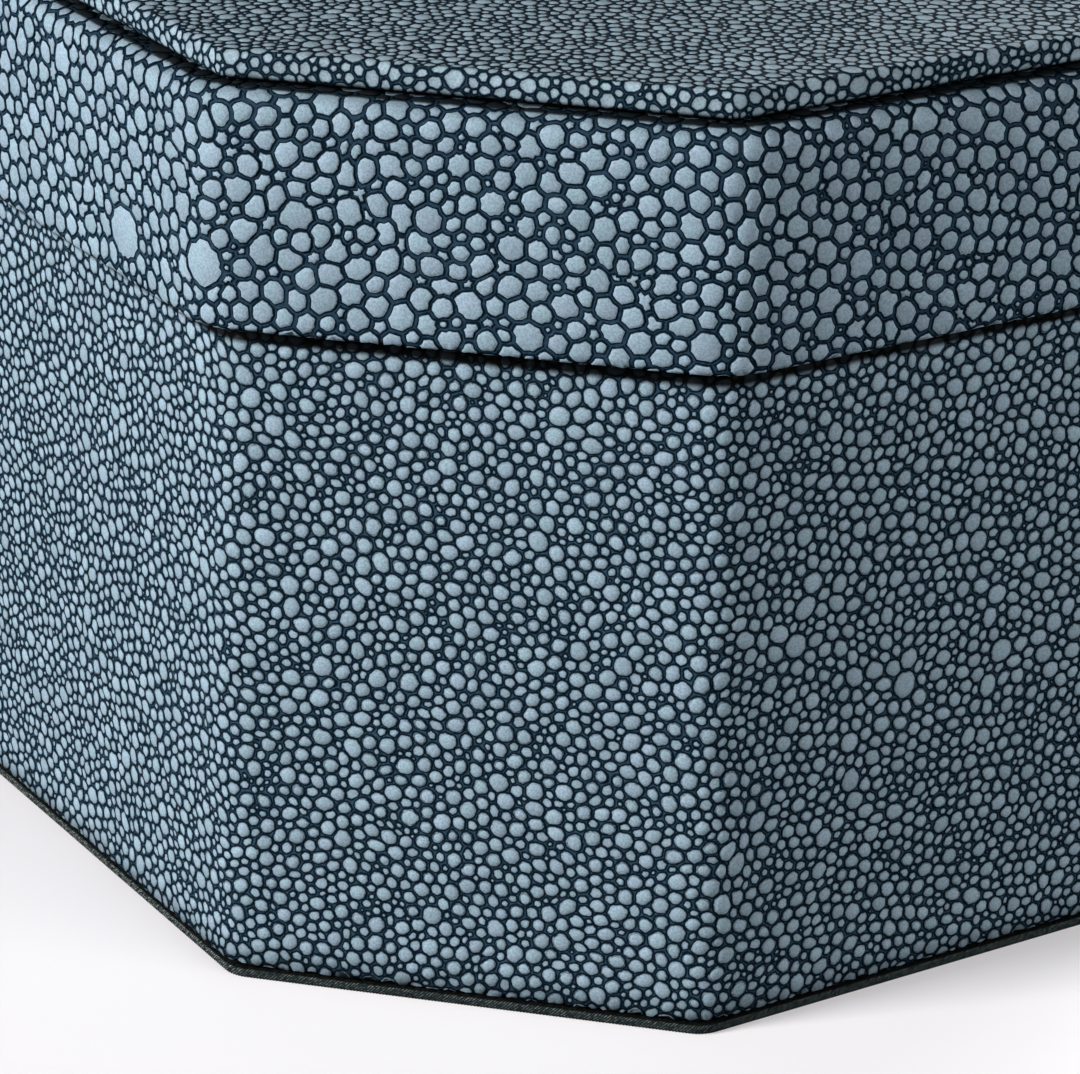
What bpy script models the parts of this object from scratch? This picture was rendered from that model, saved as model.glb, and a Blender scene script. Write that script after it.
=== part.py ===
"""Eight-sided keepsake box wrapped in faux shagreen, with a lift-off lid.

Metres, +Z up. The origin is the middle of the underside. The plan is a square with its corners cut
off, and the main sides look along the X and Y axes.
"""
import bpy
import bmesh
from math import pi, radians, sqrt, tan
from mathutils import Matrix, Vector

# Driving dimensions of the plan, taken at the outside of the body
BODY_WIDTH = 0.1520
CUT_SIDE = 0.0580

# Driving dimensions of the body, a tray of board with its covering
BODY_HEIGHT = 0.1067
BODY_BOARD = 0.0040
BODY_CORNER_RADIUS = 0.0070
BODY_RIM_RADIUS = 0.0014
BODY_MOUTH_RADIUS = 0.0012
BODY_FOOT_RADIUS = 0.0007

# Driving dimensions of the cloth-covered board under the body
BASE_THICKNESS = 0.0014
BASE_SETBACK = 0.0002
BASE_CORNER_RADIUS = 0.0045
BASE_EDGE_RADIUS = 0.0003

# Driving dimensions of the lid, a shallow tray turned over the body
LID_BOARD = 0.0028
LID_DEPTH = 0.0253
LID_CLEARANCE = 0.0006
LID_TOP_RADIUS = 0.0024
LID_LOWER_RADIUS = 0.0012
LID_MOUTH_RADIUS = 0.0006

# Driving dimensions of the thin board on the lid
PANEL_THICKNESS = 0.0033
LEDGE_WIDTH = 0.0031
PANEL_CORNER_RADIUS = 0.0022
PANEL_TOP_RADIUS = 0.0008
PANEL_LOWER_RADIUS = 0.0010

# Gap that is left where one piece rests on another
REST_GAP = 0.0003

# Smoothness of the rounded corners and edges
CORNER_STEPS = 6
EDGE_STEPS = 4
SMALL_EDGE_STEPS = 3

# Sizes and levels that follow from the driving dimensions
HALF_BEND = radians(45) / 2
LID_OUTSET = LID_CLEARANCE + LID_BOARD
LID_CORNER_RADIUS = BODY_CORNER_RADIUS + LID_OUTSET
LID_HEIGHT = LID_BOARD + LID_DEPTH
PANEL_OUTSET = LID_OUTSET - LEDGE_WIDTH
BODY_UNDERSIDE = BASE_THICKNESS + REST_GAP
BODY_RIM = BODY_UNDERSIDE + BODY_HEIGHT
LID_TOP = BODY_RIM + REST_GAP + LID_BOARD
PANEL_UNDERSIDE = LID_TOP + REST_GAP

# How near a level an edge counts as lying on it, and where the shading breaks
LEVEL_TOLERANCE = 0.00001
SMOOTH_ANGLE = radians(30)


def clear_scene():
    """Remove whatever the scene holds."""
    for item in list(bpy.data.objects):
        bpy.data.objects.remove(item, do_unlink=True)


def covering(name, colour, roughness):
    """A Principled material for a covering, with no metal in it."""
    material = bpy.data.materials.new(name)
    material.use_nodes = True
    shader = material.node_tree.nodes["Principled BSDF"]
    shader.inputs["Base Color"].default_value = (*colour, 1.0)
    shader.inputs["Roughness"].default_value = roughness
    shader.inputs["Metallic"].default_value = 0.0
    return material


def round_edges(bm, edges, offset, steps):
    """Round the edges, taking the faces back by the offset on both sides."""
    bmesh.ops.bevel(
        bm, geom=edges, offset=offset, offset_type="OFFSET", segments=steps, profile=0.5,
        affect="EDGES", clamp_overlap=True, material=-1)


def upright_edges(bm):
    """The edges that stand from the lower to the upper face of a plain block."""
    return [edge for edge in bm.edges
            if (edge.verts[0].co.xy - edge.verts[1].co.xy).length < LEVEL_TOLERANCE]


def cut_corner_block(bm, outset, height, corner_radius):
    """A block on the level 0 whose sides stand out from the body's sides by the outset."""
    width = BODY_WIDTH + 2 * outset
    cut_side = CUT_SIDE + 2 * outset * tan(HALF_BEND)
    stand = Matrix.Translation((0, 0, height / 2)) @ Matrix.Diagonal((width, width, height, 1))
    bmesh.ops.create_cube(bm, size=1.0, matrix=stand)
    round_edges(bm, upright_edges(bm), cut_side / sqrt(2), 1)
    round_edges(bm, upright_edges(bm), corner_radius * tan(HALF_BEND), CORNER_STEPS)


def loop_at(bm, level, facing_out):
    """The edges at a level that an upright face meets, facing out from the axis or in towards it."""
    found = []
    for edge in bm.edges:
        if any(abs(vert.co.z - level) > LEVEL_TOLERANCE for vert in edge.verts):
            continue
        upright = [face for face in edge.link_faces if abs(face.normal.z) < 0.5]
        if len(upright) != 1:
            continue
        middle = (edge.verts[0].co + edge.verts[1].co) / 2
        outward = upright[0].normal.dot(Vector((middle.x, middle.y, 0))) > 0
        if outward == facing_out:
            found.append(edge)
    return found


def sink_cavity(bm, height, thickness):
    """Sink the inside of a tray from its top face, which leaves walls and a floor of board."""
    top = max(bm.faces, key=lambda face: face.calc_center_median().z)
    bmesh.ops.inset_region(bm, faces=[top], thickness=thickness, use_even_offset=True)
    floor = bmesh.ops.extrude_discrete_faces(bm, faces=[top])["faces"][0]
    bmesh.ops.translate(bm, verts=floor.verts, vec=(0, 0, thickness - height))
    bm.normal_update()


def tray(bm, outset, height, corner_radius, thickness, rim_radius, mouth_radius, floor_radius):
    """A tray that opens upwards, with its outer rim, its mouth and its foot rounded."""
    cut_corner_block(bm, outset, height, corner_radius)
    sink_cavity(bm, height, thickness)
    round_edges(bm, loop_at(bm, height, True), rim_radius, EDGE_STEPS)
    round_edges(bm, loop_at(bm, height, False), mouth_radius, SMALL_EDGE_STEPS)
    round_edges(bm, loop_at(bm, 0.0, True), floor_radius, EDGE_STEPS)


def board(bm, outset, height, corner_radius, top_radius, lower_radius):
    """A flat board with its upper and its lower edge rounded."""
    cut_corner_block(bm, outset, height, corner_radius)
    bm.normal_update()
    round_edges(bm, loop_at(bm, height, True), top_radius, SMALL_EDGE_STEPS)
    round_edges(bm, loop_at(bm, 0.0, True), lower_radius, SMALL_EDGE_STEPS)


def add_piece(name, bm, material, box, level, turned_over=False):
    """Finish a mesh as a named object at its level on the box's axis."""
    mesh = bpy.data.meshes.new(name)
    bm.normal_update()
    bm.to_mesh(mesh)
    bm.free()
    mesh.shade_smooth()
    mesh.set_sharp_from_angle(angle=SMOOTH_ANGLE)
    mesh.materials.append(material)
    item = bpy.data.objects.new(name, mesh)
    item.location = (0, 0, level)
    if turned_over:
        item.rotation_euler = (pi, 0, 0)
    item.parent = box
    box.users_collection[0].objects.link(item)


def add_base_board(box):
    bm = bmesh.new()
    board(bm, -BASE_SETBACK, BASE_THICKNESS, BASE_CORNER_RADIUS, BASE_EDGE_RADIUS, BASE_EDGE_RADIUS)
    add_piece("base_board", bm, covering("woven_cloth", (0.02, 0.03, 0.04), 0.85), box, 0.0)


def add_body(box):
    bm = bmesh.new()
    tray(bm, 0.0, BODY_HEIGHT, BODY_CORNER_RADIUS, BODY_BOARD,
         BODY_RIM_RADIUS, BODY_MOUTH_RADIUS, BODY_FOOT_RADIUS)
    add_piece("body", bm, covering("fine_shagreen", (0.12, 0.18, 0.23), 0.45), box, BODY_UNDERSIDE)


def add_lid(box):
    bm = bmesh.new()
    tray(bm, LID_OUTSET, LID_HEIGHT, LID_CORNER_RADIUS, LID_BOARD,
         LID_LOWER_RADIUS, LID_MOUTH_RADIUS, LID_TOP_RADIUS)
    shagreen = covering("coarse_shagreen", (0.13, 0.19, 0.24), 0.42)
    add_piece("lid", bm, shagreen, box, LID_TOP, turned_over=True)


def add_top_panel(box):
    bm = bmesh.new()
    board(bm, PANEL_OUTSET, PANEL_THICKNESS, PANEL_CORNER_RADIUS, PANEL_TOP_RADIUS, PANEL_LOWER_RADIUS)
    add_piece("top_panel", bm, covering("panel_shagreen", (0.12, 0.18, 0.23), 0.45), box, PANEL_UNDERSIDE)


def main():
    clear_scene()
    collection = bpy.data.collections.new("faux_shagreen_box")
    bpy.context.scene.collection.children.link(collection)
    box = bpy.data.objects.new("box_axis", None)
    collection.objects.link(box)
    add_base_board(box)
    add_body(box)
    add_lid(box)
    add_top_panel(box)


main()
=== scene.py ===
"""The looks of an eight-sided keepsake box wrapped in faux shagreen.

Each covering is pressed as a flat sheet of pearls and then wrapped round its board: the fine sheet
round the body, the coarse one round the lid and a third over the thin board on the lid. Sheets are
laid out in millimetres and wrapped in metres, +Z up.
"""
from math import cos, pi, radians, sin, sqrt, tan

import bmesh
import bpy
import numpy as np
from mathutils import Matrix, Vector
from mathutils.geometry import delaunay_2d_cdt


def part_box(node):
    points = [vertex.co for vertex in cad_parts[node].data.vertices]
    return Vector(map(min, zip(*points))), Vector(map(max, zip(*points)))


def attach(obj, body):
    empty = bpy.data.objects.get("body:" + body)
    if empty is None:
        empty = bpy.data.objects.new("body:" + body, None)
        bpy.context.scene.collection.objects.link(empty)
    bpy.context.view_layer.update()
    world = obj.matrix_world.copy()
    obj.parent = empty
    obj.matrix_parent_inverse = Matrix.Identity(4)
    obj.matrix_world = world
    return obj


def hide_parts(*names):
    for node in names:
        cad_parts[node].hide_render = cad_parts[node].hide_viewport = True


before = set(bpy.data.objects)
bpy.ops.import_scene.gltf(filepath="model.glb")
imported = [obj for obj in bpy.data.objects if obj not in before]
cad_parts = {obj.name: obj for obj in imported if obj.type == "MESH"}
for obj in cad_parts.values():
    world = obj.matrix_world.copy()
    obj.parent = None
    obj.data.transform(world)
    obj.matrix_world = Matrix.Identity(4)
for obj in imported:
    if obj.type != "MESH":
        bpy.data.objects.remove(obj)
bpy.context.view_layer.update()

MM = 0.001

# Plan of the box, in millimetres
BODY_WIDTH = 152.0
CUT_SIDE = 58.0
BODY_CORNER_RADIUS = 7.0
LID_OUTSET = 3.4
PANEL_OUTSET = 0.3
PANEL_CORNER_RADIUS = 2.2
BASE_OUTSET = -0.2
BASE_CORNER_RADIUS = 4.5
BEND = radians(45)

# Boards and levels, in millimetres. The fine sheet is folded under the body and over its rim into
# the box, and is parted under the lid into two pieces.
BODY_BOARD = 4.0
LID_BOARD = 2.8
FOLD_UNDER = 4.0
PARTING_LEVEL = 86.2
INNER_WALL_END = 97.0
BODY_MIDDLE, NECK_MIDDLE = 50.0, 88.5
BASE_TOP, BASE_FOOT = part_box("base_board")[1].z / MM, 0.0
BODY_FOOT, BODY_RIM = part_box("body")[0].z / MM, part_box("body")[1].z / MM
LID_MOUTH, LID_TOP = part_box("lid")[0].z / MM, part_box("lid")[1].z / MM
PANEL_FOOT, PANEL_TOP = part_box("top_panel")[0].z / MM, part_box("top_panel")[1].z / MM

# Rounding of the wrapped edges, in millimetres, in the order that each sheet passes them
BODY_ROUNDING = (0.4, 1.4, 1.2)
LID_ROUNDING = (0.6, 0.9, 2.4)
PANEL_ROUNDING = (0.8, 1.0)
BASE_ROUNDING = (0.35, 0.35)

# How far the lid's sheet turns in at the mouth and over the top, and the cloth round the base
LID_TURNED_IN, LID_TURNED_OVER = 7.0, 9.5
BASE_TURNED_IN = 1.6

# The panel's sheet: its lengths round the upper and the lower edge and under the board, and how
# far in its profile goes there
PANEL_OVER, PANEL_UNDER, PANEL_TUCK = 1.26, 1.57, 0.6
PANEL_TURNED_IN = 2.15

# How far past its edges each sheet is filled with pearls before it is trimmed
BODY_SPARE, LID_SPARE, PANEL_SPARE = 4.0, 5.0, 4.0

# Radii of the pearls with half their groove, in millimetres, and the share of pearls below each
SHARES = (0.0, 0.05, 0.25, 0.50, 0.75, 0.90, 0.97, 1.0)
FINE_RADII = (0.38, 0.48, 0.63, 0.825, 1.045, 1.155, 1.215, 1.28)
COARSE_RADII = (0.45, 0.59, 0.81, 1.23, 1.50, 1.58, 1.69, 1.98)
PANEL_RADII = (0.34, 0.41, 0.55, 0.73, 0.87, 1.00, 1.10, 1.24)

# Two far larger pearls on the lid: the side they sit on, the place along it, the level and radius
LARGE_LID_PEARLS = ((4, 17.9, 89.5, 3.45), (4, 35.6, 90.6, 2.90))

# Spacing of the ribs in the book cloth, how far they stand out and how far the cloth lies back
# between them, in millimetres
RIB_SPACING = 0.40
RIB_CREST, RIB_VALLEY = 0.04, -0.05

# How far the floor lies under the box, in millimetres, so that the two never share a level
FLOOR_GAP = 0.05

# Half the width of the floor, in metres, and the brightness of what surrounds the box: below and
# above the floor's level, with the height of the change between them, and as the camera sees it
FLOOR_REACH = 1.2
SURROUND = (0.0081, 0.0158)
HORIZON = 0.05
BACKDROP = 0.95

# Level that the lamps are turned to, in metres
BOX_MIDDLE = 0.06


# ---- the plan outline of the box


class Outline:
    """The eight-sided plan with rounded corners, measured along and away from its line."""

    def __init__(self, outset, radius):
        width = BODY_WIDTH + 2 * outset
        side = CUT_SIDE + 2 * outset * tan(BEND / 2)
        main_side = width - side * sqrt(2)
        near = width / 2 - radius
        far = width / sqrt(2) - side / 2 - radius
        self.radius = radius
        self.reach = np.array([near, far] * 4)
        self.straight = np.array([main_side, side] * 4) - 2 * radius * tan(BEND / 2)
        self.arc = radius * BEND
        self.starts = np.concatenate([[0.0], np.cumsum(self.straight + self.arc)])
        self.length = float(self.starts[-1])
        self.turns = np.arange(8) * BEND
        self.ways = [np.array([cos(turn), sin(turn)]) for turn in self.turns]

    def at(self, along):
        """For each length along the line, the middle of its bend and the way out of the box."""
        along = np.asarray(along) % self.length
        side = np.clip(np.searchsorted(self.starts, along, side="right") - 1, 0, 7)
        past = along - self.starts[side]
        straight = self.straight[side]
        bend = np.clip((past - straight) / self.arc, 0, 1) * BEND
        step = np.minimum(past, straight) - straight / 2
        angle = self.turns[side]
        out = np.stack([np.cos(angle), np.sin(angle)], axis=1)
        onward = np.stack([-np.sin(angle), np.cos(angle)], axis=1)
        middle = out * self.reach[side][:, None] + onward * step[:, None]
        angle = angle + bend
        return middle, np.stack([np.cos(angle), np.sin(angle)], axis=1)

    def nearest(self, points):
        """For each plan point, its nearest place on the inner line, the way out and how far."""
        best = np.full(len(points), np.inf)
        found = np.zeros((len(points), 2))
        inside = np.full(len(points), True)
        for out, reach, straight in zip(self.ways, self.reach, self.straight):
            onward = np.array([-out[1], out[0]])
            step = np.clip(points @ onward, -straight / 2, straight / 2)
            foot = out * reach + step[:, None] * onward
            gap = np.linalg.norm(points - foot, axis=1)
            nearer = gap < best
            best = np.where(nearer, gap, best)
            found = np.where(nearer[:, None], foot, found)
            inside &= points @ out < reach
        away = (points - found) / np.maximum(best, 1e-9)[:, None]
        return found, np.where(inside[:, None], 0.0, away), np.where(inside, 0.0, best)


# How finely the rounding of a wrapped edge is followed
ROUNDING_POINTS = 33


class Profile:
    """A line across a wrapped edge, given by corner points and their rounding radii."""

    def __init__(self, corners, radii):
        line = [np.array(corners[0], float)]
        for k in range(1, len(corners) - 1):
            before, corner, after = (np.array(corners[m], float) for m in (k - 1, k, k + 1))
            come = (before - corner) / np.linalg.norm(before - corner)
            leave = (after - corner) / np.linalg.norm(after - corner)
            centre = corner + (come + leave) * radii[k - 1]
            for turn in np.linspace(0, pi / 2, ROUNDING_POINTS):
                line.append(centre - leave * radii[k - 1] * cos(turn)
                            - come * radii[k - 1] * sin(turn))
        line.append(np.array(corners[-1], float))
        self.line = np.array(line)
        steps = np.diff(self.line, axis=0)
        lengths = np.linalg.norm(steps, axis=1)
        self.places = np.concatenate([[0.0], np.cumsum(lengths)])
        self.length = float(self.places[-1])
        way = steps / np.maximum(lengths, 1e-9)[:, None]
        way = np.vstack([way[:1], way[:-1] + way[1:], way[-1:]])
        way /= np.linalg.norm(way, axis=1, keepdims=True)
        self.face = np.stack([way[:, 1], -way[:, 0]], axis=1)

    def at(self, across):
        """Offset and level at each length across the line, and the way the face looks there."""
        place = np.stack([np.interp(across, self.places, self.line[:, k]) for k in (0, 1)], axis=1)
        look = np.stack([np.interp(across, self.places, self.face[:, k]) for k in (0, 1)], axis=1)
        return place, look / np.linalg.norm(look, axis=1, keepdims=True)

    def across_level(self, level, first):
        """Length across the line where it passes a level, the first or the last time."""
        z = self.line[:, 1]
        passes = np.nonzero((z[:-1] - level) * (z[1:] - level) <= 0)[0]
        k = passes[0] if first else passes[-1]
        share = (level - z[k]) / (z[k + 1] - z[k])
        return float(self.places[k] + share * (self.places[k + 1] - self.places[k]))


# ---- pearls on a flat sheet

# How far past its seam the pearls of a sheet are repeated, while they settle and as cells
SETTLING_REACH = 8.0
CELL_REACH = 9.0

# Settling: how often a pearl looks for new neighbours, how strongly two pearls part where they
# overlap or close up where they don't, the strain that counts and the longest single move
LOOK_ROUND = 7
PUSH_APART, DRAW_UP = 0.32, 0.05
MOST_OVERLAP, MOST_GAP = -1.5, 0.6
LONGEST_MOVE = 0.6

# Scattering: trial radii, the share of the sheet that pearls fill, one in how many pearls leads,
# how much wider the leaders are spaced, and the rounds of settling for them and then for all
TRIALS = 4000
FILLED = 0.90
ONE_LEADS = 4
LEADER_SPACE = 1.7
LEADER_ROUNDS, ALL_ROUNDS = 28, 63


def with_ghosts(points, length, reach):
    """The points with copies past both ends of a sheet whose ends meet, and which point each is."""
    index = np.arange(len(points))
    if not length:
        return points, index
    head = points[:, 0] < reach
    tail = points[:, 0] > length - reach
    spread = np.vstack([points, points[head] + [length, 0], points[tail] - [length, 0]])
    return spread, np.concatenate([index, index[head], index[tail]])


def triangles_between(points):
    """Triangles that join neighbouring points."""
    found = delaunay_2d_cdt([Vector(p) for p in points.tolist()], [], [], 0, 1e-7)
    return np.array(found[2])


def settle(points, radii, length, low, high, rounds, fixed=0):
    """Let the pearls push each other apart and close up until they lie side by side."""
    for turn in range(rounds):
        if turn % LOOK_ROUND == 0:
            spread, owner = with_ghosts(points, length, SETTLING_REACH)
            corners = triangles_between(spread)
            sides = np.vstack([corners[:, [0, 1]], corners[:, [1, 2]], corners[:, [2, 0]]])
            sides = np.unique(np.sort(sides, axis=1), axis=0)
            real = sides[:, 0] < len(points)
            i, j = owner[sides[real, 0]], owner[sides[real, 1]]
        gap = points[j] - points[i]
        if length:
            gap[:, 0] -= length * np.round(gap[:, 0] / length)
        distance = np.maximum(np.linalg.norm(gap, axis=1), 1e-6)
        strain = (distance - radii[i] - radii[j]) / distance
        pull = np.where(strain < 0, PUSH_APART, DRAW_UP) * np.clip(strain, MOST_OVERLAP, MOST_GAP)
        light = radii[j] ** 2 / (radii[i] ** 2 + radii[j] ** 2)
        move = np.zeros_like(points)
        for axis in (0, 1):
            step = pull * gap[:, axis]
            move[:, axis] += np.bincount(i, step * light, len(points))
            move[:, axis] -= np.bincount(j, step * (1 - light), len(points))
        move[:fixed] = 0
        size = np.linalg.norm(move, axis=1, keepdims=True)
        points = points + move * np.minimum(1, LONGEST_MOVE / np.maximum(size, 1e-9))
        if length:
            points[:, 0] %= length
        points[:, 1] = np.clip(points[:, 1], low, high)
    return points


def scatter_pearls(length, low, high, table, seed, giants=()):
    """Middles and radii of the pearls on a sheet, the largest spread out first."""
    rng = np.random.default_rng(seed)
    width = length if length else high - low
    start = 0.0 if length else low
    room = width * (high - low)
    trial = np.interp(rng.random(TRIALS), SHARES, table)
    count = int(FILLED * room / (pi * (trial ** 2).mean()))
    radii = np.sort(np.interp(rng.random(count), SHARES, table))[::-1]
    points = rng.random((count, 2)) * [width, high - low] + [start, low]
    for k, (x, y, radius) in enumerate(giants):
        points[k], radii[k] = (x, y), radius
    leaders = count // ONE_LEADS
    wide = radii[:leaders] * LEADER_SPACE
    fixed = len(giants)
    points[:leaders] = settle(points[:leaders], wide, length, low, high, LEADER_ROUNDS, fixed)
    return settle(points, radii, length, low, high, ALL_ROUNDS, fixed), radii


# ---- the pressed sheet as a mesh

# A pearl that rises to one point: how deep the point lies, as a share of the groove's depth, and
# how far it counts as lying from the groove, as a share of the pearl's size
POINT_DEPTH = 0.12
POINT_EDGE = 0.92

# A pearl with a flat top: how the ring fits its cell, the least that the ring shrinks to, and how
# many slope widths from the groove the top of a domed pearl counts as lying
RING_FIT = 0.93
LEAST_RING = 0.25
LEAST_SPAN = 0.2
DOME_EDGE = 3

# Seed of the pearls' tones
TONE_SEED = 5


class Sheet:
    """A flat sheet of cells, one a pearl, and what is known of each pearl."""

    def __init__(self, points, radii, length, bent_grooves):
        self.points, self.length = points, length
        spread, owner = with_ghosts(points, length, CELL_REACH)
        reach = radii[owner]
        self.bm = bm = bmesh.new()
        self.pearl = bm.faces.layers.int.new("pearl")
        middles = [bm.verts.new((x, y, 0.0)) for x, y in spread]
        for triple in triangles_between(spread).tolist():
            bm.faces.new([middles[k] for k in triple])
        bm.verts.index_update()
        between = list(bm.edges)
        meetings = bmesh.ops.poke(bm, faces=bm.faces[:])["verts"]
        for vert in meetings:
            a, b, c = (edge.other_vert(vert).index for edge in vert.link_edges)
            touches = [touching_point(spread, reach, p, q) for p, q in ((a, b), (b, c), (c, a))]
            vert.co.xy = np.mean(touches, axis=0)
        hull = {vert for vert in middles if vert.is_boundary}
        inner = [edge for edge in between if not edge.is_boundary]
        if bent_grooves:
            for edge in inner:
                one, other = edge.verts
                touch = touching_point(spread, reach, one.index, other.index)
                _, vert = bmesh.utils.edge_split(edge, one, 0.5)
                vert.co.xy = touch
                for face in list(vert.link_faces):
                    meeting, = (far for far in face.verts if far not in (one, other, vert))
                    bmesh.utils.face_split(face, vert, meeting)
        else:
            bmesh.ops.rotate_edges(bm, edges=inner, use_ccw=False)
        for face in bm.faces:
            face[self.pearl] = -1
        for k, vert in enumerate(middles):
            if k < len(points) and vert not in hull:
                for face in vert.link_faces:
                    face[self.pearl] = k
        bmesh.ops.dissolve_verts(bm, verts=[vert for vert in middles if vert not in hull])
        waste = [face for face in bm.faces if face[self.pearl] < 0]
        bmesh.ops.delete(bm, geom=waste, context="FACES")

    def cut(self, point, way):
        """Trim the sheet along a straight line, leaving what lies against the way."""
        bmesh.ops.bisect_plane(
            self.bm, geom=self.bm.verts[:] + self.bm.edges[:] + self.bm.faces[:], dist=1e-6,
            plane_co=(*point, 0), plane_no=(*way, 0), clear_outer=True, clear_inner=False)

    def measure(self):
        """Find each cell's middle, and the oval that has its area, length and width."""
        count = len(self.points)
        self.middle = np.zeros((count, 2))
        self.size = np.ones(count)
        spread = np.tile([1.0, 0.0, 1.0], (count, 1))
        for face in self.bm.faces:
            k = face[self.pearl]
            ring = [tuple(vert.co.xy) for vert in face.verts]
            x0, y0 = ring[0]
            area = mx = my = xx = xy = yy = 0.0
            for (ax, ay), (bx, by) in zip(ring, ring[1:] + ring[:1]):
                ax, ay, bx, by = ax - x0, ay - y0, bx - x0, by - y0
                cross = ax * by - bx * ay
                area += cross / 2
                mx += cross * (ax + bx) / 6
                my += cross * (ay + by) / 6
                xx += cross * (ax * ax + ax * bx + bx * bx) / 12
                yy += cross * (ay * ay + ay * by + by * by) / 12
                xy += cross * (ax * by + 2 * ax * ay + 2 * bx * by + bx * ay) / 24
            area = max(area, 1e-3)
            mx, my = mx / area, my / area
            self.middle[k] = x0 + mx, y0 + my
            spread[k] = xx / area - mx * mx, xy / area - mx * my, yy / area - my * my
            self.size[k] = sqrt(area / pi)
        a, b, d = spread.T
        a, d = np.maximum(a, 1e-3), np.maximum(d, 1e-3)
        root = np.sqrt(np.maximum(a * d - b * b, 1e-6))
        total = np.sqrt(a + d + 2 * root)
        a, b, d = 2 * (a + root) / total, 2 * b / total, 2 * (d + root) / total
        det = a * d - b * b
        self.oval = np.stack([d / det, -b / det, a / det], axis=1)

    def raise_pearls(self, slope, depth, ringed_from, dome=0.0, plain=None, pointed=1.05):
        """Raise each cell into a pearl that stands between grooves, and note the distance to them.

        Cells above a size get a flat or domed top inside a ring; the others rise to one point.
        """
        bm = self.bm
        self.edge = bm.verts.layers.float.new("edge")
        for vert in bm.verts:
            vert.co.z = -depth
            vert[self.edge] = 0.0
        large, small = [], []
        for face in bm.faces:
            k = face[self.pearl]
            hidden = plain is not None and plain(*self.middle[k])
            (large if self.size[k] > ringed_from and not hidden else small).append(face)
        shapes = [(face, [vert.co.copy() for vert in face.verts]) for face in large]
        self.ring(shapes, slope, pointed)
        if dome:
            for vert in bmesh.ops.poke(bm, faces=large)["verts"]:
                vert.co.z = dome
                vert[self.edge] = slope * DOME_EDGE
        for vert in bmesh.ops.poke(bm, faces=small)["verts"]:
            k = vert.link_faces[0][self.pearl]
            vert.co.xy = self.middle[k]
            vert.co.z = -POINT_DEPTH * depth
            vert[self.edge] = self.size[k] * POINT_EDGE

    def ring(self, shapes, inward, pointed):
        """Add a ring inside each cell at the level of the tops, a little rounder than the cell."""
        bm = self.bm
        faces = [face for face, _ in shapes]
        bmesh.ops.inset_individual(bm, faces=faces, thickness=0.01, depth=0.0)
        for face, outer in shapes:
            k = face[self.pearl]
            cx, cy = self.middle[k]
            p, q, r = self.oval[k]
            size = self.size[k]
            share = max(1 - inward / (RING_FIT * size), LEAST_RING)
            for vert, corner in zip(face.verts, outer):
                dx, dy = corner.x - cx, corner.y - cy
                span = sqrt((p * dx + q * dy) ** 2 + (q * dx + r * dy) ** 2)
                fit = min(share, (pointed - inward / size) / max(span, LEAST_SPAN))
                vert.co = (cx + dx * fit, cy + dy * fit, 0.0)
                vert[self.edge] = inward

    def marks(self, mesh):
        """Write each pearl's oval, size and tone on the mesh, for the finish to read."""
        count = len(mesh.polygons)
        pearl = np.zeros(count, np.int32)
        mesh.attributes["pearl"].data.foreach_get("value", pearl)
        totals = np.zeros(count, np.int32)
        mesh.polygons.foreach_get("loop_total", totals)
        owner = np.repeat(pearl, totals)
        offset = flat_places(mesh) - self.middle[owner]
        if self.length:
            offset[:, 0] -= self.length * np.round(offset[:, 0] / self.length)
        p, q, r = self.oval[owner].T
        write_places(mesh, "oval", np.stack(
            [p * offset[:, 0] + q * offset[:, 1], q * offset[:, 0] + r * offset[:, 1]], axis=1))
        rng = np.random.default_rng(TONE_SEED)
        tone = rng.random(len(self.points))
        for name, values in (("size", self.size), ("tone", tone)):
            layer = mesh.attributes.new(name, "FLOAT", "FACE")
            layer.data.foreach_set("value", values[pearl].astype(np.float32))


def wrap(bm, move):
    """Take every point from the flat sheet to its place on the box, in metres."""
    flat = bm.verts.layers.float_vector.new("flat")
    verts = bm.verts[:]
    places = move(np.array([vert.co[:] for vert in verts], float))
    for vert, place in zip(verts, (places * MM).tolist()):
        vert[flat] = vert.co
        vert.co = place
    bmesh.ops.remove_doubles(bm, verts=verts, dist=2e-7)


def flat_places(mesh):
    """Where each corner of each face lay on the flat sheet."""
    flat = np.zeros(len(mesh.vertices) * 3, np.float32)
    mesh.attributes["flat"].data.foreach_get("vector", flat)
    corner = np.zeros(len(mesh.loops), np.int32)
    mesh.loops.foreach_get("vertex_index", corner)
    return flat.reshape(-1, 3)[corner, :2]


def write_places(mesh, name, places):
    """Keep a pair of values for each corner of each face, for the finish to read."""
    layer = mesh.uv_layers.new(name=name)
    layer.uv.foreach_set("vector", places.astype(np.float32).ravel())


def touching_point(spread, reach, a, b):
    """Where two pearls touch, nearer to the smaller one's middle."""
    return spread[a] + (spread[b] - spread[a]) * (reach[a] / (reach[a] + reach[b]))


def round_the_box(outline, profile):
    """The move that wraps a flat strip round an outline, following a profile up it."""
    def move(flat):
        middle, out = outline.at(flat[:, 0])
        place, look = profile.at(flat[:, 1])
        away = place[:, 0] + look[:, 0] * flat[:, 2] + outline.radius
        level = place[:, 1] + look[:, 1] * flat[:, 2]
        return np.column_stack([middle + out * away[:, None], level])
    return move


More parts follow.
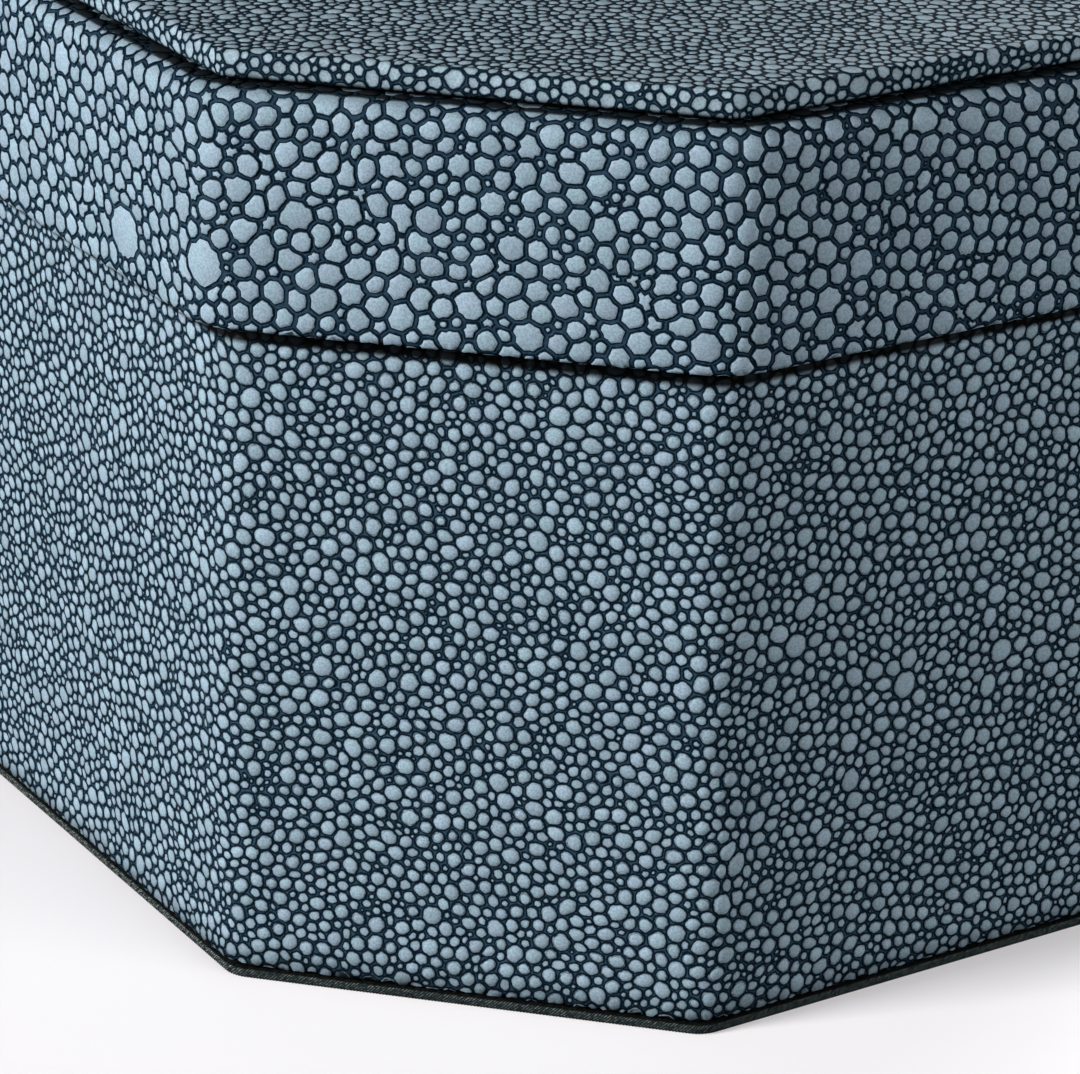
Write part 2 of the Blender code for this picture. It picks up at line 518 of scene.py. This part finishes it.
def over_the_board(outline, profile, turn):
    """The move that lays a flat sheet on a board and rolls it over the board's edge."""
    def move(flat):
        middle, out, away = outline.nearest(flat[:, :2])
        across = away - outline.radius + turn
        rolled = across > 0
        place, look = profile.at(np.maximum(across, 0))
        reach = outline.radius + place[:, 0] + look[:, 0] * flat[:, 2]
        level = place[:, 1] + look[:, 1] * flat[:, 2]
        plan = np.where(rolled[:, None], middle + out * reach[:, None], flat[:, :2])
        height = np.where(rolled, level, profile.line[0, 1] + flat[:, 2])
        return np.column_stack([plan, height])
    return move


# ---- closing a wrapped sheet over its board

# Bend of an edge above which the shading breaks there
SHARP_BEND = radians(62)


def open_edges(bm, test):
    """The open edges whose two ends pass a test."""
    return [edge for edge in bm.edges if edge.is_boundary and all(test(v.co) for v in edge.verts)]


def draw_wall(bm, edges, outline, offset, level):
    """Draw a wall from a loop to another offset and level, and return the new loop."""
    made = bmesh.ops.extrude_edge_only(bm, edges=edges)["geom"]
    verts = [item for item in made if isinstance(item, bmesh.types.BMVert)]
    plan = np.array([vert.co.xy[:] for vert in verts]) / MM
    middle, out, _ = outline.nearest(plan)
    for vert, place in zip(verts, (middle + out * (outline.radius + offset)) * MM):
        vert.co = (*place, level * MM)
    return [item for item in made if isinstance(item, bmesh.types.BMEdge)
            and item.is_boundary and all(v in verts for v in item.verts)]


def close_over(bm, edges):
    """Close a level loop with one flat face."""
    bmesh.ops.holes_fill(bm, edges=edges, sides=0)


def finish_piece(name, bm, materials, cad_node, sheet=None):
    """Make the mesh an object that stands for its CAD node."""
    bm.normal_update()
    mesh = bpy.data.meshes.new(name)
    bm.to_mesh(mesh)
    bm.free()
    for material in materials:
        mesh.materials.append(material)
    mesh.shade_smooth()
    if sheet is not None:
        sheet.marks(mesh)
    mesh.set_sharp_from_angle(angle=SHARP_BEND)
    piece = bpy.data.objects.new(name, mesh)
    bpy.context.scene.collection.objects.link(piece)
    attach(piece, "root")
    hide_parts(cad_node)
    return piece


def line_new_faces(bm, known):
    """Give every face that was not there before the second material."""
    for face in bm.faces:
        if face not in known:
            face.material_index = 1


# ---- the coverings

# A size above that of every pearl, for a sheet whose pearls all rise to points
NO_RINGS = 9.0


def press_strip(points, radii, outline, profile, start, end, bent_grooves=False, **relief):
    """Press a strip of pearls, trimmed at two lengths across it, and wrap it round the box."""
    sheet = Sheet(points, radii, outline.length, bent_grooves)
    sheet.cut((0, start), (0, -1))
    sheet.cut((0, end), (0, 1))
    sheet.measure()
    sheet.raise_pearls(**relief)
    wrap(sheet.bm, round_the_box(outline, profile))
    return sheet, set(sheet.bm.faces)


def cover_body(shagreen, lining):
    """Wrap the fine sheet round the body: the sides that show, and the neck under the lid."""
    outline = Outline(0.0, BODY_CORNER_RADIUS)
    profile = Profile(
        [(-FOLD_UNDER, BODY_FOOT), (0.0, BODY_FOOT), (0.0, BODY_RIM),
         (-BODY_BOARD, BODY_RIM), (-BODY_BOARD, INNER_WALL_END)],
        BODY_ROUNDING)
    parting = profile.across_level(PARTING_LEVEL, first=True)
    points, radii = scatter_pearls(
        outline.length, -BODY_SPARE, profile.length + BODY_SPARE, FINE_RADII, seed=21)

    sheet, known = press_strip(points, radii, outline, profile, 0, parting,
                               slope=0.29, depth=0.15, ringed_from=0.91)
    bm = sheet.bm
    upper = open_edges(bm, lambda co: co.z > BODY_MIDDLE * MM)
    lower = open_edges(bm, lambda co: co.z < BODY_MIDDLE * MM)
    upper = draw_wall(bm, upper, outline, -BODY_BOARD, PARTING_LEVEL)
    upper = draw_wall(bm, upper, outline, -BODY_BOARD, BODY_FOOT + BODY_BOARD)
    close_over(bm, upper)
    close_over(bm, lower)
    line_new_faces(bm, known)
    finish_piece("body_sides", bm, (shagreen, lining), "body", sheet)

    sheet, known = press_strip(points, radii, outline, profile, parting, profile.length,
                               slope=0.29, depth=0.15, ringed_from=NO_RINGS)
    bm = sheet.bm
    lower = open_edges(bm, lambda co: co.z < NECK_MIDDLE * MM)
    inner = open_edges(bm, lambda co: co.z > NECK_MIDDLE * MM)
    inner = draw_wall(bm, inner, outline, -BODY_BOARD, PARTING_LEVEL)
    bmesh.ops.bridge_loops(bm, edges=lower + inner)
    line_new_faces(bm, known)
    finish_piece("body_neck", bm, (shagreen, lining), "body", sheet)


def cover_lid(shagreen, lining):
    """Wrap the coarse sheet round the lid, from inside its mouth to under the board on top."""
    outline = Outline(LID_OUTSET, BODY_CORNER_RADIUS + LID_OUTSET)
    profile = Profile(
        [(-LID_BOARD, LID_MOUTH + LID_TURNED_IN), (-LID_BOARD, LID_MOUTH), (0.0, LID_MOUTH),
         (0.0, LID_TOP), (-LID_TURNED_OVER, LID_TOP)],
        LID_ROUNDING)
    large = []
    for side, step, level, size in LARGE_LID_PEARLS:
        along = outline.starts[side] + outline.straight[side] / 2 + step
        large.append((along, profile.across_level(level, first=False), size))
    points, radii = scatter_pearls(
        outline.length, -LID_SPARE, profile.length + LID_SPARE, COARSE_RADII, seed=8, giants=large)
    shown_from = profile.across_level(LID_MOUTH + 0.2, first=True)
    shown_to = profile.length - 4.6
    sheet, known = press_strip(
        points, radii, outline, profile, 0, profile.length, bent_grooves=True,
        slope=0.36, depth=0.20, ringed_from=0.62, dome=0.03, pointed=1.22,
        plain=lambda x, y: not shown_from < y < shown_to)
    bm = sheet.bm
    between = (LID_TOP - 5) * MM
    upper = open_edges(bm, lambda co: co.z > between)
    inner = open_edges(bm, lambda co: co.z < between)
    inner = draw_wall(bm, inner, outline, -LID_BOARD, LID_TOP - LID_BOARD)
    close_over(bm, inner)
    close_over(bm, upper)
    line_new_faces(bm, known)
    finish_piece("lid_shell", bm, (shagreen, lining), "lid", sheet)


def cover_panel(shagreen, lining):
    """Lay the third sheet over the thin board on the lid and roll it under the board's edge."""
    outline = Outline(PANEL_OUTSET, PANEL_CORNER_RADIUS)
    over, under = PANEL_ROUNDING
    profile = Profile(
        [(-over, PANEL_TOP), (0.0, PANEL_TOP), (0.0, PANEL_FOOT), (-PANEL_TURNED_IN, PANEL_FOOT)],
        PANEL_ROUNDING)
    upright = PANEL_TOP - PANEL_FOOT - over - under
    past = PANEL_OVER + upright + PANEL_UNDER + PANEL_TUCK - over
    ends = outline.reach + outline.radius + past
    half = ends[0] + PANEL_SPARE
    points, radii = scatter_pearls(0.0, -half, half, PANEL_RADII, seed=31)
    inside = np.full(len(points), True)
    for way, end in zip(outline.ways, ends):
        inside &= points @ way < end + PANEL_SPARE
    sheet = Sheet(points[inside], radii[inside], 0.0, bent_grooves=False)
    for way, end in zip(outline.ways, ends):
        sheet.cut(tuple(way * end), tuple(way))
    sheet.measure()
    sheet.raise_pearls(slope=0.26, depth=0.15, ringed_from=0.62, dome=0.02)
    wrap(sheet.bm, over_the_board(outline, profile, over))
    bm = sheet.bm
    known = set(bm.faces)
    close_over(bm, open_edges(bm, lambda co: True))
    line_new_faces(bm, known)
    finish_piece("panel_cover", bm, (shagreen, lining), "top_panel", sheet)


def cover_base(cloth):
    """Fold cloth with slanting ribs round the base board."""
    outline = Outline(BASE_OUTSET, BASE_CORNER_RADIUS)
    profile = Profile(
        [(-BASE_TURNED_IN, BASE_FOOT), (0.0, BASE_FOOT), (0.0, BASE_TOP),
         (-BASE_TURNED_IN, BASE_TOP)],
        BASE_ROUNDING)
    ribs = round(outline.length / RIB_SPACING)
    bm = bmesh.new()
    bmesh.ops.create_grid(bm, x_segments=ribs * 2, y_segments=12, size=0.5)
    for vert in bm.verts:
        rib = round((vert.co.x + 0.5) * ribs * 2)
        across = (vert.co.y + 0.5) * profile.length
        along = rib / 2 * outline.length / ribs + across
        vert.co = (along, across, RIB_CREST if rib % 2 else RIB_VALLEY)
    wrap(bm, round_the_box(outline, profile))
    middle = (BASE_FOOT + BASE_TOP) / 2 * MM
    close_over(bm, open_edges(bm, lambda co: co.z > middle))
    close_over(bm, open_edges(bm, lambda co: co.z < middle))
    piece = finish_piece("base_cloth", bm, (cloth,), "base_board")
    write_places(piece.data, "weave", flat_places(piece.data) @ [[1, 0], [-1, 1]] / RIB_SPACING)


# ---- finishes


def node(tree, kind, inputs=None, **settings):
    """Add a shader node, set it up and feed its inputs with values or links."""
    made = tree.nodes.new(kind)
    for name, value in settings.items():
        setattr(made, name, value)
    for key, value in (inputs or {}).items():
        if isinstance(value, bpy.types.NodeSocket):
            tree.links.new(value, made.inputs[key])
        else:
            made.inputs[key].default_value = value
    return made


def maths(tree, operation, *values, **settings):
    """A Math node's result."""
    inputs = dict(enumerate(values))
    return node(tree, "ShaderNodeMath", inputs, operation=operation, **settings).outputs[0]


def ramp(tree, value, low, high, to_low=0.0, to_high=1.0):
    """A smooth step of a value between two limits."""
    made = node(tree, "ShaderNodeMapRange", {0: value, 1: low, 2: high, 3: to_low, 4: to_high},
                interpolation_type="SMOOTHSTEP")
    return made.outputs[0]


def blend(tree, share, one, other):
    """One colour turning into another by a share."""
    made = node(tree, "ShaderNodeMix", {0: share}, data_type="RGBA", clamp_factor=True)
    for socket, colour in ((made.inputs[6], one), (made.inputs[7], other)):
        if isinstance(colour, bpy.types.NodeSocket):
            tree.links.new(colour, socket)
        else:
            socket.default_value = (*colour, 1.0)
    return made.outputs[2]


def new_finish(name, roughness):
    """A material with a shader of even roughness, and where its points lie on the box."""
    material = bpy.data.materials.new(name)
    material.use_nodes = True
    tree = material.node_tree
    shader = tree.nodes["Principled BSDF"]
    shader.inputs["Roughness"].default_value = roughness
    place = node(tree, "ShaderNodeTexCoord").outputs["Object"]
    return material, tree, shader, place


def noise(tree, place, scale, detail=2.0, roughness=0.5):
    """Soft random values over the surface."""
    made = node(tree, "ShaderNodeTexNoise",
                {"Vector": place, "Scale": scale, "Detail": detail, "Roughness": roughness})
    return made.outputs[0]


# Shagreen: how much a pearl's outline wanders, in millimetres, how much the width of the dark edge
# differs from pearl to pearl, and what makes a second random value out of a pearl's tone
WANDER = 0.46
EDGE_SPREAD = 0.5
SECOND_TONE = 7.3


def shagreen_finish(name, pale, groove, web, gap, ring, web_from, roundness, painted_seam_shade):
    """Satin pearls with dark dye in the grooves and a paler web where the grooves are wide."""
    material, tree, shader, place = new_finish(name, 0.45)
    shader.inputs["Specular IOR Level"].default_value = 0.04
    edge = node(tree, "ShaderNodeAttribute", attribute_name="edge").outputs["Fac"]
    size = node(tree, "ShaderNodeAttribute", attribute_name="size").outputs["Fac"]
    tone = node(tree, "ShaderNodeAttribute", attribute_name="tone").outputs["Fac"]
    oval = node(tree, "ShaderNodeUVMap", uv_map="oval").outputs[0]
    length = node(tree, "ShaderNodeVectorMath", {0: oval}, operation="LENGTH").outputs["Value"]
    wander = maths(tree, "MULTIPLY_ADD", noise(tree, place, 1000.0), WANDER, -WANDER / 2)
    second = maths(tree, "FRACT", maths(tree, "MULTIPLY", tone, SECOND_TONE))
    gap = maths(tree, "MULTIPLY_ADD", second, EDGE_SPREAD * gap, (1 - EDGE_SPREAD / 2) * gap)
    inside = maths(tree, "MULTIPLY", maths(tree, "SUBTRACT", roundness, length), size)
    outline = maths(tree, "SMOOTH_MIN", edge, inside, 0.06)
    outline = maths(tree, "ADD", maths(tree, "SUBTRACT", outline, gap), wander)
    inside = maths(tree, "SUBTRACT", inside, gap)
    top = ramp(tree, outline, -0.08, 0.09)
    middle = ramp(tree, inside, 0.10, 0.22)
    flat = ramp(tree, edge, ring - 0.04, ring - 0.01)
    top = maths(tree, "MAXIMUM", top, maths(tree, "MULTIPLY", middle, flat))
    wide = ramp(tree, outline, -web_from - 0.09, -web_from + 0.04, 1.0, 0.0)
    grain = noise(tree, place, 4200.0, 3.0, 0.6)
    patch = noise(tree, place, 160.0, 2.0)
    hue = noise(tree, place, 420.0, 2.0)
    shade = ramp(tree, grain, 0.34, 0.66, 0.81, 1.17)
    # Painted shade on each pearl's rounded top: darker near its edge, lighter in its middle
    shade = maths(tree, "MULTIPLY", shade, ramp(tree, inside, -0.12, 0.42, 0.76, 1.04))
    shade = maths(tree, "MULTIPLY", shade, maths(tree, "MULTIPLY_ADD", tone, 0.20, 0.90))
    shade = maths(tree, "MULTIPLY", shade, maths(tree, "MULTIPLY_ADD", patch, 0.20, 0.90))
    colour = blend(tree, ramp(tree, hue, 0.30, 0.70), *pale)
    low = blend(tree, wide, groove, web)
    fine_dust = ramp(tree, grain, 0.45, 0.75, 0.85, 1.6)
    low = shaded(tree, low, fine_dust)
    colour = blend(tree, top, low, shaded(tree, colour, shade))
    # Painted shade at the seams: the colour is darkened by height, from the level where the painted
    # shade is darkest to the level where it is clear
    height = node(tree, "ShaderNodeSeparateXYZ", {0: place}).outputs[2]
    for dark, clear, share in painted_seam_shade:
        colour = shaded(tree, colour, ramp(tree, height, dark * MM, clear * MM, share, 1.0))
    tree.links.new(colour, shader.inputs["Base Color"])
    tree.links.new(maths(tree, "MULTIPLY_ADD", top, -0.20, 0.70), shader.inputs["Roughness"])
    rise = ramp(tree, outline, -0.16, 0.14, 0.0, 0.06)
    rise = maths(tree, "ADD", rise, ramp(tree, inside, 0.0, 0.6, 0.0, 0.05))
    height = maths(tree, "MULTIPLY_ADD", grain, 0.012, rise)
    bump = node(tree, "ShaderNodeBump", {"Strength": 0.8, "Distance": 0.001, "Height": height})
    tree.links.new(bump.outputs[0], shader.inputs["Normal"])
    return material


def shaded(tree, colour, share):
    """A colour multiplied by a value."""
    made = node(tree, "ShaderNodeMix", {0: 1.0, 6: colour}, data_type="RGBA", blend_type="MULTIPLY")
    tree.links.new(share, made.inputs[7])
    return made.outputs[2]


def lining_finish():
    """Dark paper with a faint fibre."""
    material, tree, shader, place = new_finish("dark_lining", 0.85)
    fibre = noise(tree, place, 1500.0, 4.0, 0.65)
    colour = blend(tree, fibre, (0.010, 0.016, 0.021), (0.022, 0.032, 0.040))
    tree.links.new(colour, shader.inputs["Base Color"])
    bump = node(tree, "ShaderNodeBump", {"Strength": 0.5, "Distance": 0.0001, "Height": fibre})
    tree.links.new(bump.outputs[0], shader.inputs["Normal"])
    return material


def cloth_finish():
    """Dark book cloth with worn grey-green flecks along its ribs."""
    material, tree, shader, place = new_finish("book_cloth", 0.85)
    shader.inputs["Specular IOR Level"].default_value = 0.05
    weave = node(tree, "ShaderNodeUVMap", uv_map="weave").outputs[0]
    rib, along, _ = node(tree, "ShaderNodeSeparateXYZ", {0: weave}).outputs
    across = maths(tree, "ABSOLUTE", maths(tree, "SUBTRACT", maths(tree, "FRACT", rib), 0.5))
    crest = ramp(tree, across, 0.34, 0.08)
    drawn_out = {"Vector": weave, "Scale": (1.0, 0.55, 1.0)}
    stretched = node(tree, "ShaderNodeMapping", drawn_out).outputs[0]
    fleck = ramp(tree, noise(tree, stretched, 1.3, 2.0, 0.6), 0.40, 0.60)
    fibre = noise(tree, place, 5200.0, 3.0, 0.7)
    worn = maths(tree, "MULTIPLY", crest, fleck)
    light = maths(tree, "MULTIPLY", worn, ramp(tree, fibre, 0.40, 0.58, 0.2, 1.0))
    colour = blend(tree, light, (0.009, 0.015, 0.017), (0.230, 0.255, 0.235))
    # Painted shade along the top of the cloth, in the join under the body's foot
    level = node(tree, "ShaderNodeSeparateXYZ", {0: place}).outputs[2]
    shade = ramp(tree, level, (BASE_TOP - 0.34) * MM, (BASE_TOP - 0.16) * MM, 1.0, 0.05)
    colour = shaded(tree, colour, shade)
    tree.links.new(colour, shader.inputs["Base Color"])
    height = maths(tree, "ADD", fleck, fibre)
    bump = node(tree, "ShaderNodeBump", {"Strength": 0.6, "Distance": 0.00005, "Height": height})
    tree.links.new(bump.outputs[0], shader.inputs["Normal"])
    return material


def floor_finish():
    """Smooth white card."""
    material, tree, shader, place = new_finish("white_card", 0.6)
    cloud = noise(tree, place, 6.0, 2.0)
    colour = blend(tree, cloud, (0.565, 0.550, 0.560), (0.585, 0.570, 0.580))
    tree.links.new(colour, shader.inputs["Base Color"])
    shader.inputs["Emission Color"].default_value = (1.0, 0.97, 0.985, 1.0)
    shader.inputs["Emission Strength"].default_value = 0.35
    return material


# ---- the studio


def add_floor():
    """A level white card that throws no light or shade on the box."""
    bm = bmesh.new()
    level = Matrix.Translation((0, 0, -FLOOR_GAP * MM))
    bmesh.ops.create_grid(bm, x_segments=8, y_segments=8, size=FLOOR_REACH, matrix=level)
    mesh = bpy.data.meshes.new("floor")
    bm.to_mesh(mesh)
    bm.free()
    mesh.materials.append(floor_finish())
    floor = bpy.data.objects.new("floor", mesh)
    bpy.context.scene.collection.objects.link(floor)
    floor.visible_diffuse = floor.visible_glossy = floor.visible_shadow = False


def add_camera():
    """A long lens in front of a cut corner, looking a little down on the box."""
    camera = bpy.data.objects.new("camera", bpy.data.cameras.new("camera"))
    camera.data.lens = 147.0
    camera.data.sensor_width = 36.0
    place = Vector((-0.295333, -0.449703, 0.251720))
    right = Vector((0.848870, -0.528330, 0.016928))
    down = Vector((-0.189136, -0.333478, -0.923591))
    forward = Vector((0.493606, 0.780807, -0.383006))
    turn = Matrix((right, -down, -forward)).transposed().to_4x4()
    camera.matrix_world = Matrix.Translation(place) @ turn
    bpy.context.scene.collection.objects.link(camera)
    bpy.context.scene.camera = camera


def add_light(name, place, size, power):
    """A soft square lamp at a place, turned to the middle of the box."""
    light = bpy.data.lights.new(name, "AREA")
    light.shape = "SQUARE"
    light.size = size
    light.energy = power
    lamp = bpy.data.objects.new(name, light)
    lamp.location = place
    way = Vector((0.0, 0.0, BOX_MIDDLE)) - Vector(place)
    lamp.rotation_euler = way.to_track_quat("-Z", "Y").to_euler()
    bpy.context.scene.collection.objects.link(lamp)


def add_lighting():
    """A low lamp on the left, a broad one on the right, a small one behind and a dim surround.

    The camera alone sees the surround as a white backdrop.
    """
    world = bpy.data.worlds.new("studio")
    world.use_nodes = True
    tree = world.node_tree
    way = node(tree, "ShaderNodeTexCoord").outputs["Generated"]
    height = node(tree, "ShaderNodeSeparateXYZ", {0: way}).outputs[2]
    surround = ramp(tree, height, -HORIZON, HORIZON, *SURROUND)
    seen = node(tree, "ShaderNodeLightPath").outputs["Is Camera Ray"]
    surround = maths(tree, "MAXIMUM", surround, maths(tree, "MULTIPLY", seen, BACKDROP))
    tree.links.new(surround, tree.nodes["Background"].inputs["Strength"])
    tree.nodes["Background"].inputs["Color"].default_value = (1.0, 1.0, 1.0, 1.0)
    bpy.context.scene.world = world
    add_light("left_lamp", (-1.2149, 0.1277, 0.5046), 0.35, 30.2)
    add_light("right_fill", (0.4178, -1.1479, 0.5046), 1.0, 13.8)
    add_light("back_lamp", (0.7665, 0.3574, 0.3678), 0.5, 5.5)
    view = bpy.context.scene.view_settings
    view.view_transform = "Standard"
    view.look = "None"


# Colours and measures of the three sheets: the two hues of the pearls' tops, the dye in the grooves
# and on the web in wide grooves, the width of the dark edge, the distance from the groove where a
# flat top starts, where the web begins, how round the pearls are, and for each seam the painted
# shade there: the levels where it is darkest and clear and the light left there
GROOVE = (0.0004, 0.0062, 0.0135)
# The body's sheet: a painted shadow just below the lid's edge, and painted shade darkening the last
# few millimetres above the foot
FINE = dict(pale=((0.226, 0.315, 0.367), (0.238, 0.311, 0.382)),
            groove=GROOVE, web=(0.022, 0.047, 0.072),
            gap=0.247, ring=0.29, web_from=0.235, roundness=0.985,
            painted_seam_shade=((81.5, 80.6, 0.03), (BODY_FOOT, 5.5, 0.55)))
# The lid's sheet: painted shade on the ledge round the panel's foot, darkest on its flat part and
# fading over the rounding of the lid's top
COARSE = dict(pale=((0.208, 0.291, 0.341), (0.221, 0.287, 0.354)),
              groove=GROOVE, web=(0.016, 0.037, 0.060),
              gap=0.372, ring=0.36, web_from=0.255, roundness=1.22,
              painted_seam_shade=((LID_TOP - 0.03, LID_TOP - 0.18, 0.05), (LID_TOP, LID_TOP - 1.8, 0.78)))
# The panel's sheet: its own pale hues, made a little less blue than the body's as a painted sheen
# on the top, and painted shade along the panel's lower edge
PANEL = dict(pale=((0.230, 0.314, 0.358), (0.244, 0.312, 0.371)),
             groove=GROOVE, web=(0.018, 0.040, 0.062),
             gap=0.237, ring=0.26, web_from=0.225, roundness=1.01,
             painted_seam_shade=((PANEL_FOOT + 0.12, PANEL_FOOT + 0.80, 0.05),))


def main():
    lining = lining_finish()
    cover_body(shagreen_finish("fine_shagreen", **FINE), lining)
    cover_lid(shagreen_finish("coarse_shagreen", **COARSE), lining)
    cover_panel(shagreen_finish("panel_shagreen", **PANEL), lining)
    cover_base(cloth_finish())
    add_floor()
    add_camera()
    add_lighting()


main()
